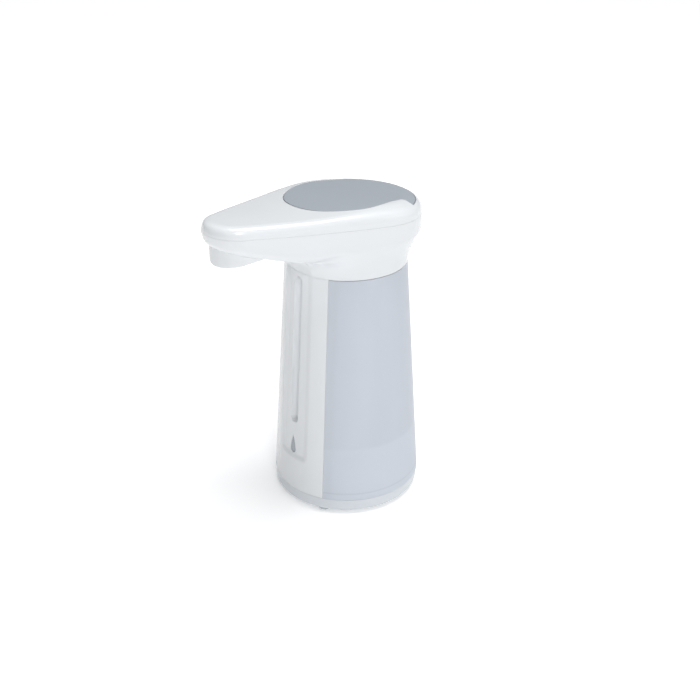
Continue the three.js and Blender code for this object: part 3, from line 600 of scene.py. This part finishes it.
def lower_rings(inset, lift, bottom_z, top_lift, fine=5):
    """Rings of the lower housing: a short flare at the sides and rear, and the long nose's underside."""
    edge = outline(inset)
    far = np.hypot(*edge.T)
    unit = edge / far[:, None]
    neck = NECK_R - inset
    reach = far - neck
    w = smooth(reach, 10, 34)
    zero = np.zeros(len(edge))
    nose_out = [zero, zero, zero + 1.7, zero + 4.6, zero + 10, reach * 0.55, reach - 4.2, reach - 2.4,
                reach - 0.9, reach - 0.1]
    nose_up = [0, 0, -5.0, -2.2, -0.1, 0, 0, 1.1, 3.2, 6.5]
    rows = []
    for k, (share, z) in enumerate(zip(FLARE_SHARE, FLARE_Z)):
        d = lerp(share * reach, nose_out[k], w)
        points = unit * (neck + d)[:, None]
        under = underside_z(np.minimum(points[:, 1], -36)) + nose_up[k] + lift
        height = lerp(z, z if k < 2 else under, w)
        if k < 2:
            height = bottom_z + k
        rows.append(at_height(points, height))
    rows.append(at_height(edge, parting_z(edge[:, 1]) + top_lift))
    return refine(np.array(rows), fine)


def refine(rows, fine):
    """Smooth rows between given rows, following a centripetal curve down each column."""
    gap = np.sqrt(np.linalg.norm(np.diff(rows, axis=0), axis=2)) + 1e-3
    knot = np.concatenate([np.zeros((1, rows.shape[1])), np.cumsum(gap, 0)])
    tangent = np.zeros_like(rows)
    h = np.diff(knot, axis=0)[:, :, None]
    slope = np.diff(rows, axis=0) / h
    tangent[1:-1] = (slope[:-1] * h[1:] + slope[1:] * h[:-1]) / (h[:-1] + h[1:])
    tangent[0], tangent[-1] = slope[0], slope[-1]
    tangent[1] = slope[0] * 0.7 + slope[1] * 0.3
    out = []
    for k in range(len(rows) - 1):
        for i in range(fine):
            t = i / fine
            out.append(
                rows[k] * (1 + 2 * t) * (1 - t) ** 2 + tangent[k] * h[k] * t * (1 - t) ** 2
                + rows[k + 1] * t * t * (3 - 2 * t) + tangent[k + 1] * h[k] * t * t * (t - 1)
            )
    out.append(rows[-1])
    return out


def recess_depth(x, z, top_z_end):
    """Depth of the shallow strip down the front, with soft edges and rounded lower corners."""
    half = lerp(RECESS_HALF_BOTTOM, RECESS_HALF_TOP, np.clip((z - RECESS_BOTTOM_Z) / 118, 0, 1))
    low = RECESS_BOTTOM_Z + RECESS_CORNER
    dx = np.abs(x) - (half - RECESS_CORNER)
    dz = low - z
    corner = np.hypot(np.maximum(dx, 0), np.maximum(dz, 0)) - RECESS_CORNER
    inside = np.where(dz > 0, corner, np.abs(x) - half)
    return RECESS_DEPTH * smooth(-inside, -1.8, 2.6) * (1 - smooth(z, top_z_end - 5, top_z_end))


def lower_housing():
    rows = lower_rings(0, 0, NECK_Z + 0.02, -0.01)
    pressed = []
    for row in rows:
        front = row[:, 1] < -20
        radius = np.hypot(row[:, 0], row[:, 1])
        near = 1 - smooth(radius, NECK_R + 1, NECK_R + 8)
        depth = recess_depth(row[:, 0], row[:, 2], RECESS_TOP_Z) * front * near
        shrink = 1 - depth / radius
        pressed.append(np.column_stack([row[:, 0] * shrink, row[:, 1] * shrink, row[:, 2]]))
    inner = lower_rings(WALL, WALL, 152.3, -0.01)[::-1]
    housing = rings_mesh("lower_housing_shell", pressed + inner)
    shroud = nozzle_shroud()
    join(housing, shroud)
    cut(
        housing,
        lathe("neck_hole", [(0, 145), (16.9, 145), (16.9, 153.5), (0, 153.5)], 96, 0, FILL_Y),
        lathe("nozzle_bore", [(0, 158), (3.4, 158), (3.4, 178), (0, 178)], 48, 0, NOZZLE_Y),
        block("sensor_opening", (-7.3, 7.3), (SENSOR_Y - 3.3, SENSOR_Y + 3.3), (160, 178), 0.4),
    )
    for x, y in NOSE_SCREWS:
        cut(housing, lathe("screw_well", [(0, 160), (2.9, 160), (2.9, 172.8), (0, 172.8)], 40, x, y))
    return stand_in(housing, "white_gloss", "head_lower_housing")


def shroud_foot_z(y):
    return SHROUD_FOOT_Z + SHROUD_RISE * (y + 100)


def nozzle_shroud():
    """The boss round the nozzle. Its foot slopes up to the rear until it meets the underside."""
    edge = outline(SHROUD_INSET, nose=96)
    edge = edge[edge[:, 1] < SHROUD_REAR_Y]
    across = np.linspace(edge[-1][0], edge[0][0], 30)[1:-1]
    edge = np.concatenate([edge, np.stack([across, np.full(28, edge[0][1])], 1)])
    middle = np.array([0, -78])
    foot = shroud_foot_z(edge[:, 1])
    rings = []
    for share in (0.35, 0.7, 0.86):
        points = middle + (edge - middle) * share
        rings.append(at_height(points, shroud_foot_z(points[:, 1])))
    out = (edge - middle) / np.hypot(*(edge - middle).T)[:, None]
    for turn in np.linspace(0, math.pi / 2, 7):
        points = edge - out * SHROUD_ROUND * (1 - math.sin(turn))
        rings.append(at_height(points, foot + SHROUD_ROUND * (1 - math.cos(turn))))
    rings.append(at_height(edge, SHROUD_TOP_Z))
    return rings_mesh("nozzle_shroud", rings)


def sensor_window():
    """The dark window, with its two faces parallel to the underside of the nose."""
    bottom, top = 168.5, 173.5
    window = block("sensor_window_lens", (-7, 7), (SENSOR_Y - 3, SENSOR_Y + 3), (bottom, top), 0.5)
    for v in window.data.vertices:
        height = v.co.z / MM
        face, lift = (bottom, 0.1) if height < 171 else (top, 1.6)
        v.co.z = (underside_z(v.co.y / MM - SHIFT_Y) + lift + (height - face) * 0.3) * MM
    return stand_in(window, "infrared_black", "sensor_window")


# ---- lid ----
def refill_lid():
    """The flush lid: its top follows the head's dome, with a hinge knuckle at the rear edge."""
    edge = lid_outline(0)
    rings = []
    centre = np.array([0.0, 18.0])
    before, after = np.roll(edge, 1, 0), np.roll(edge, -1, 0)
    along = after - before
    along /= np.hypot(*along.T)[:, None]
    inward = -np.stack([along[:, 1], -along[:, 0]], 1)

    def ring(step, share, lower):
        points = edge + inward * step
        points = points + (centre - points) * share
        return at_height(points, top_z(points[:, 0], points[:, 1]) - lower)

    for share in (0.97, 0.9, 0.8, 0.65, 0.5, 0.35, 0.2, 0.08, 0.02):
        rings.append(ring(0, share, LID_THICK))
    rings.append(ring(0.12, 0, LID_THICK))
    rings.append(ring(0, 0, LID_THICK - 0.12))
    for turn in np.linspace(0, math.pi / 2, 6):
        rings.append(ring(0.4 * (1 - math.cos(turn)), 0, 0.4 * (1 - math.sin(turn))))
    for share in np.linspace(0.012, 0.97, 44):
        rings.append(ring(0.4, share, 0))
    lid = rings_mesh("refill_lid_cap", rings)
    knuckle = bar_x("knuckle", HINGE_Y, HINGE_Z, 1.15, -HINGE_HALF, HINGE_HALF, 40)
    web = np.array([(38.4, 184.2), (39.5, 185.3), (HINGE_Y, HINGE_Z + 1.1),
                    (HINGE_Y + 0.6, HINGE_Z - 0.3), (HINGE_Y - 0.8, HINGE_Z - 0.6)])
    sides = [np.column_stack([np.full(5, x), web]) for x in (-HINGE_HALF, HINGE_HALF)]
    join(lid, knuckle, rings_mesh("web", sides))
    cut(lid, bar_x("pin_bore", HINGE_Y, HINGE_Z, 0.7, -20, 20, 24))
    return stand_in(lid, "lid_grey", "refill_lid", body="lid")


PLUG_TOP_FROM_Z = 186.6


def lid_plug():
    """The seal under the lid. Its top face follows the lid's underside."""
    profile = [(0, 185.6), (10, 185.6), (10, 182.6), (11.6, 181.6), (13, 182.6), (13, 187.7), (0, 187.7)]
    plug = lathe("lid_plug_seal", rounded(profile, 0.5), 96, 0, FILL_Y)
    for v in plug.data.vertices:
        if v.co.z > PLUG_TOP_FROM_Z * MM:
            x, y = v.co.x / MM, v.co.y / MM - SHIFT_Y
            v.co.z = float(top_z(x, y) - LID_THICK - GAP + (v.co.z / MM - 187.7)) * MM
    return stand_in(plug, "silicone", "lid_plug", body="lid")


def fill_neck():
    profile = [(14.3, 148.4), (16.5, 148.4), (16.5, 152.6), (18.5, 152.6), (18.5, 154), (16.2, 154),
               (16.2, 184.2), (14.3, 184.2), (14.3, 148.4)]
    neck = lathe("fill_neck_tube", profile, 96, 0, FILL_Y)
    return stand_in(neck, "inner_white", "fill_neck")


# ---- column ----
def front_panel():
    """The white strip down the front: a shallow recess, a half-round groove and a drop-shaped hole."""
    across, up = 150, 210
    low, high = SEAM_Z + GAP / 2, NECK_Z - 0.04
    heights = np.linspace(low, high, up)
    shares = np.linspace(-1, 1, across)
    outer, inner = [], []
    for z in heights:
        x = shares * panel_half(z)
        radius = cone_r(z)
        depth = recess_depth(x, np.full(across, z), 400)
        past_end = np.maximum(GROOVE_BOTTOM_Z + GROOVE_HALF - z, z - (GROOVE_TOP_Z - GROOVE_HALF))
        end = np.clip(past_end, 0, None)
        off = np.hypot(x, end) / GROOVE_HALF
        hollow = np.sqrt(np.clip(1 - off ** 2, 0, 1)) * (1 - smooth(off, 0.93, 1.0) * 0.3)
        depth = depth + GROOVE_DEPTH * hollow
        turn = np.arcsin(x / radius)
        edge_roll = 0.35 * smooth(np.abs(x), panel_half(z) - 0.35, panel_half(z)) ** 2
        deep = radius - depth - edge_roll
        outer.append(np.stack([deep * np.sin(turn), -deep * np.cos(turn), np.full(across, z)], 1))
        back = radius - np.where(np.abs(x) < 13.5, PANEL_THICK_MIDDLE, PANEL_THICK_SIDE)
        inner.append(np.stack([back * np.sin(turn), -back * np.cos(turn), np.full(across, z)], 1))
    rings = [np.concatenate([a, b[::-1]]) for a, b in zip(outer, inner)]
    panel = rings_mesh("front_panel_strip", rings, smooth_angle=50)
    cut(panel, drop_prism("drop_hole", 0.12, 30.0, 50.0))
    return stand_in(panel, "white_gloss", "front_panel")


def drop_outline(grow, count=48):
    """The drop's outline in X and Z: a round foot, then two slightly bowed sides up to the tip."""
    points = []
    r, middle_z = DROP_HALF + grow, DROP_BOTTOM_Z + DROP_HALF
    for i in range(count + 1):
        a = -math.pi * 1.12 + (i / count) * math.pi * 1.24
        points.append((r * math.cos(a), middle_z + r * math.sin(a)))
    tip = (0, DROP_TIP_Z + grow * 2.4)
    last, first = points[-1], points[0]
    for start, end, keep in ((last, tip, True), (tip, first, False)):
        for i in range(1, 12):
            t = i / 12
            bow = 0.32 * math.sin(math.pi * t) * (1 if keep else -1)
            points.append((lerp(start[0], end[0], t) + bow, lerp(start[1], end[1], t)))
        if keep:
            points.append(tip)
    return points


def drop_prism(name, grow, depth_in, depth_out):
    rings = [np.array([(x, -y, z) for x, z in drop_outline(grow)]) for y in (depth_in, depth_out)]
    return rings_mesh(name, rings)


def status_window():
    shape = np.array(drop_outline(-0.05))
    middle = np.array([0.0, 37.2])
    rings = []
    levels = ((0.25, 0.0), (0.6, 0.0), (0.85, 0.03), (0.95, 0.1), (1.0, 0.3), (1.0, 2.2), (0.5, 2.2))
    for share, sink in levels:
        points = middle + (shape - middle) * share
        r = cone_r(points[:, 1]) - RECESS_DEPTH - 0.1 - sink
        y = -np.sqrt(r ** 2 - points[:, 0] ** 2)
        rings.append(np.stack([points[:, 0], y, points[:, 1]], 1))
    return stand_in(rings_mesh("status_window_lens", rings), "window_grey", "status_window")


def tank_ring(z, inset, side, back, arc=200, flat=40):
    """One level of the tank: round outside, flat across the cable channel at the front."""
    r = cone_r(z) - inset
    wall_y = lerp(CHANNEL_BOTTOM_Y, CHANNEL_TOP_Y, (z - 10) / 140) + back
    half = panel_half(z) + side
    start = -math.acos(min(1.0, half / r))
    if r * math.sin(start) > wall_y:
        half = math.sqrt(r * r - wall_y * wall_y)
        start = -math.acos(half / r)
    turn = np.linspace(start, math.pi - start, arc)
    points = list(np.stack([r * np.cos(turn), r * np.sin(turn)], 1))
    corner_y = r * math.sin(start)
    inner_y = max(corner_y, wall_y)
    across = np.linspace(-half, half, flat)
    points += [(-half, lerp(corner_y, inner_y, t)) for t in (0.1, 0.5, 0.9)]
    points += [(x, inner_y) for x in across]
    points += [(half, lerp(corner_y, inner_y, t)) for t in (0.9, 0.5, 0.1)]
    return at_height(np.array(points), z)


def soap_tank():
    """An open-topped cup with a raised floor, and a skirt below it round the battery housing."""
    rings = []
    low, high = SEAM_Z + GAP / 2, NECK_Z - GAP
    for z in (SEAM_Z + 0.4, 20, 28, TANK_FLOOR_Z - WALL - 1.5):
        rings.append(tank_ring(z, WALL, GAP + WALL, WALL))
    under = rings[::-1]
    floor_low = [lerp(under[0].mean(0), under[0], s) for s in (0.2, 0.6, 0.96)]
    floor_low = [np.column_stack([p[:, :2], np.full(len(p), TANK_FLOOR_Z - WALL)]) for p in floor_low]
    outside = [tank_ring(z, 0, GAP / 4, 0) for z in np.linspace(low, high, 40)]
    inside = [tank_ring(z, WALL, GAP + WALL, WALL) for z in np.linspace(high, TANK_FLOOR_Z + 1.2, 30)]
    last = tank_ring(TANK_FLOOR_Z, WALL, GAP + WALL, WALL)
    floor_top = [lerp(last.mean(0), last, s) for s in (0.97, 0.6, 0.2)]
    every_ring = floor_low + under + outside + inside + floor_top
    shell = rings_mesh("soap_tank_shell", every_ring, smooth_angle=50)
    return stand_in(shell, "tank_translucent", "soap_tank")


# ---- base ----
def base_ring():
    profile = [(0, 2), (43.0, 2), (44.3, 2.6), (44.8, 4), (FOOT_R, SEAM_Z)]
    outer = rounded(profile, 0.8, 6)
    profile = outer + [(42.9, SEAM_Z), (42.9, 13), (41.2, 13), (41.2, 4.4), (0, 4.4)]
    base = lathe("base_ring_shell", profile, 180)
    cutters = [
        block("panel_gap", (-28, 28), (-60, -20), (SEAM_Z, 20), 0),
        block("door_opening", (-DOOR_HALF - 0.4, DOOR_HALF + 0.4), (DOOR_FRONT_Y - 0.4, DOOR_HINGE_Y + 2),
              (0, 6), 0),
        bar_x("pin_hole", DOOR_HINGE_Y, DOOR_HINGE_Z, 0.9, -18.3, 18.3, 24),
        block("switch_slot", (SWITCH_X - 2.6, SWITCH_X + 2.6), (SWITCH_Y - 3, SWITCH_Y + 7), (0, 6), 0),
    ]
    hole = [(0, 0), (2.9, 0), (2.9, 3.4), (1.4, 3.4), (1.4, 6), (0, 6)]
    for x, y in BASE_SCREWS:
        cutters.append(lathe("screw_hole", hole, 40, x, y))
    for x, y in FEET:
        cutters.append(lathe("foot_pocket", [(0, 0), (4.3, 0), (4.3, 2.9), (0, 2.9)], 48, x, y))
    cut(base, *cutters)
    return stand_in(base, "base_grey", "base_ring")


def foot(number, x, y):
    profile = rounded([(0, 0), (3.2, 0), (4, 0.8), (4, 2.6), (0, 2.6)], 0.35)
    return stand_in(lathe(f"foot_pad_{number}", profile, 48, x, y), "clear_foot", f"foot_{number}")


def battery_door():
    length = (DOOR_FRONT_Y, DOOR_HINGE_Y - 2.2)
    door = block("battery_door_panel", (-DOOR_HALF, DOOR_HALF), length, (2.2, 4.2), 0.35)
    for x in (-9, 9):
        join(
            door,
            bar_x("door_knuckle", DOOR_HINGE_Y, DOOR_HINGE_Z, 1.3, x - 4, x + 4, 32),
            block("door_arm", (x - 4, x + 4), (DOOR_HINGE_Y - 3, DOOR_HINGE_Y), (2.4, 4.2), 0),
        )
    join(door, block("door_latch", (-4, 4), (DOOR_FRONT_Y + 0.6, DOOR_FRONT_Y + 2), (4, 5.4), 0.2))
    cut(
        door,
        block("finger_pull", (-6, 6), (-18, -14), (1, 2.9), 0.5),
        bar_x("door_pin_bore", DOOR_HINGE_Y, DOOR_HINGE_Z, 0.9, -20, 20, 24),
    )
    for y in (10, 13, 16, 19, 22):
        cut(door, block("grip_line", (-7, 7), (y - 0.45, y + 0.45), (1.5, 2.55), 0))
    return stand_in(door, "base_grey", "battery_door", body="battery_door")


def switch_knob():
    across, along = (SWITCH_X - 2.2, SWITCH_X + 2.2), (SWITCH_Y - 2.6, SWITCH_Y + 2.6)
    knob = block("power_switch_slider", across, along, (1.2, 4.8), 0.3)
    for step in (-1.4, 0, 1.4):
        y = SWITCH_Y + step
        cut(knob, block("rib_gap", (SWITCH_X - 3, SWITCH_X + 3), (y - 0.3, y + 0.3), (0, 1.7), 0))
    return stand_in(knob, "dark_plastic", "power_switch_knob", body="power_switch")


def cross_screw(name, node, x, y, head_z, length):
    """A pan-head screw seen from below, with a cross recess."""
    head = [(0, head_z + 0.1), (1.6, head_z + 0.05), (2.2, head_z + 0.25), (2.4, head_z + 0.6),
            (2.4, head_z + 0.9), (1.1, head_z + 1), (1.1, head_z + length), (0, head_z + length + 0.6)]
    screw = lathe(name, rounded(head, 0.15), 40, x, y)
    cut(
        screw,
        block("recess_a", (x - 1.3, x + 1.3), (y - 0.28, y + 0.28), (head_z - 1, head_z + 0.75), 0),
        block("recess_b", (x - 0.28, x + 0.28), (y - 1.3, y + 1.3), (head_z - 1, head_z + 0.75), 0),
    )
    return stand_in(screw, "steel", node)


def nozzle_tip():
    profile = [(1, 167.4), (2.4, 167.4), (2.9, 168.2), (2.9, 175.8), (4.6, 175.8), (4.6, 177), (2, 177),
               (2, 171), (1, 170), (1, 167.4)]
    return stand_in(lathe("nozzle_tip_spout", profile, 64, 0, NOZZLE_Y), "silicone", "nozzle_tip")


def battery_cell(number, x, z):
    """An AA cell lying along Y, with a crimped can edge and a raised positive end."""
    profile = [(0, 0), (4.5, 0.05), (6.7, 0.15), (7.1, 0.6), (7.1, 47.9), (6.6, 48.5), (6.0, 48.6),
               (2.75, 48.6), (2.7, 49.9), (0, 50)]
    cell = lathe(f"battery_cell_can_{number}", rounded(profile, 0.3), 64)
    for v in cell.data.vertices:
        local = Vector((v.co.x, v.co.y - SHIFT_Y * MM, v.co.z))
        v.co = Vector((local.x + x * MM, local.z + (3 - 25 + SHIFT_Y) * MM, local.y + z * MM))
    tidy(cell)
    return stand_in(cell, "cell_wrap", f"battery_cell_{number}")


# ---- carried-over CAD nodes ----
def dress_cad_nodes():
    """Every CAD node takes a finish by its name: that of the first group with a word found in the name."""
    groups = {
        "steel": ("pin", "contact", "screw", "drive_motor"), "brass_pinion": ("pinion",),
        "gear_white": ("gear",), "cell_wrap": ("cell",), "dark_plastic": ("switch",),
        "board_green": ("board",), "infrared_black": ("ir_", "sensor_window"), "led_clear": ("led",),
        "cable_grey": ("cable",),
        "silicone": ("tube", "plug", "nozzle"), "lid_grey": ("lid",),
    }
    for node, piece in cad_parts.items():
        fits = [slot for slot, words in groups.items() if any(word in node for word in words)]
        slot = fits[0] if fits else "inner_white"
        paint(piece, SLOTS[slot])


# ---- stage, light and camera, in metres and watts ----
FLOOR_SIZE = 60
FLOOR_REACH, FLOOR_GLOW = (0.3, 1.1), (0.25, 0.7)
SKY_COLOUR, SKY_TURN, SKY_GLOW = (0.97, 0.985, 1.0), 0.45, (0.2, 0.38)
LAMP_TARGET = (0, 0, 0.1)
# name, place, diameter and power
LAMPS = [("key", (0.95, -0.5, 0.85), 0.35, 4.8), ("top", (0.1, 0.15, 1.4), 0.9, 14.0)]
CAMERA_PLACE, CAMERA_TILT, CAMERA_TURN = (0.4104, -0.31685, 0.3545), 63.6, 50.05


def stage():
    """A pale floor that glows a little more further away, so that it stays white to the horizon."""
    bpy.ops.mesh.primitive_plane_add(size=FLOOR_SIZE, location=(0, 0, 0))
    floor = bpy.context.object
    floor.name = "floor"
    made, nodes, links, shader = new_material("pale_floor")
    shader.inputs["Base Color"].default_value = (0.93, 0.93, 0.93, 1)
    shader.inputs["Roughness"].default_value = 0.9
    shader.inputs["Specular IOR Level"].default_value = 0.1
    shader.inputs["Emission Color"].default_value = (1, 1, 1, 1)
    place = nodes.new("ShaderNodeTexCoord")
    reach = nodes.new("ShaderNodeVectorMath")
    reach.operation = "LENGTH"
    links.new(place.outputs["Object"], reach.inputs[0])
    glow = nodes.new("ShaderNodeMapRange")
    glow.inputs["From Min"].default_value, glow.inputs["From Max"].default_value = FLOOR_REACH
    glow.inputs["To Min"].default_value, glow.inputs["To Max"].default_value = FLOOR_GLOW
    links.new(reach.outputs["Value"], glow.inputs["Value"])
    links.new(glow.outputs["Result"], shader.inputs["Emission Strength"])
    paint(floor, made)


def area_light(name, location, target, size, power):
    data = bpy.data.lights.new(name, "AREA")
    data.shape = "DISK"
    data.size = size
    data.energy = power
    lamp = bpy.data.objects.new(name, data)
    lamp.location = location
    lamp.rotation_euler = (Vector(target) - Vector(location)).to_track_quat("-Z", "Y").to_euler()
    bpy.context.scene.collection.objects.link(lamp)


def lights():
    """A soft sky that is brighter towards +X and +Y, and two lamps."""
    world = bpy.data.worlds.new("studio")
    bpy.context.scene.world = world
    world.use_nodes = True
    background = world.node_tree.nodes["Background"]
    background.inputs["Color"].default_value = (*SKY_COLOUR, 1)
    place = world.node_tree.nodes.new("ShaderNodeTexCoord")
    axes = world.node_tree.nodes.new("ShaderNodeSeparateXYZ")
    both = world.node_tree.nodes.new("ShaderNodeMath")
    both.operation = "MULTIPLY_ADD"
    both.inputs[1].default_value = SKY_TURN
    glow = world.node_tree.nodes.new("ShaderNodeMapRange")
    glow.inputs["From Min"].default_value = -1
    glow.inputs["To Min"].default_value, glow.inputs["To Max"].default_value = SKY_GLOW
    world.node_tree.links.new(place.outputs["Generated"], axes.inputs["Vector"])
    world.node_tree.links.new(axes.outputs["Y"], both.inputs[0])
    world.node_tree.links.new(axes.outputs["X"], both.inputs[2])
    world.node_tree.links.new(both.outputs["Value"], glow.inputs["Value"])
    world.node_tree.links.new(glow.outputs["Result"], background.inputs["Strength"])
    for name, place, size, power in LAMPS:
        area_light(name, place, LAMP_TARGET, size, power)


def camera():
    data = bpy.data.cameras.new("camera")
    data.lens = 50
    data.sensor_width = 36
    seen = bpy.data.objects.new("camera", data)
    seen.location = CAMERA_PLACE
    seen.rotation_euler = (math.radians(CAMERA_TILT), 0, math.radians(CAMERA_TURN))
    bpy.context.scene.collection.objects.link(seen)
    bpy.context.scene.camera = seen
    bpy.context.scene.view_settings.view_transform = "Standard"
    bpy.context.scene.view_settings.look = "None"


camera()
stage()
lights()
dress_cad_nodes()
top_cover()
lower_housing()
sensor_window()
refill_lid()
lid_plug()
fill_neck()
front_panel()
status_window()
soap_tank()
base_ring()
for i, (foot_x, foot_y) in enumerate(FEET, 1):
    foot(i, foot_x, foot_y)
battery_door()
switch_knob()
for i, (screw_x, screw_y) in enumerate(BASE_SCREWS, 1):
    cross_screw(f"base_fixing_{i}", f"base_screw_{i}", screw_x, screw_y, 2.2, 12)
for i, (screw_x, screw_y) in enumerate(NOSE_SCREWS, 1):
    cross_screw(f"nose_fixing_{i}", f"nose_screw_{i}", screw_x, screw_y, 171.4, 11)
nozzle_tip()
for i, (cell_z, cell_x) in enumerate([(12.3, -7.45), (12.3, 7.45), (26.7, -7.45), (26.7, 7.45)], 1):
    battery_cell(i, cell_x, cell_z)
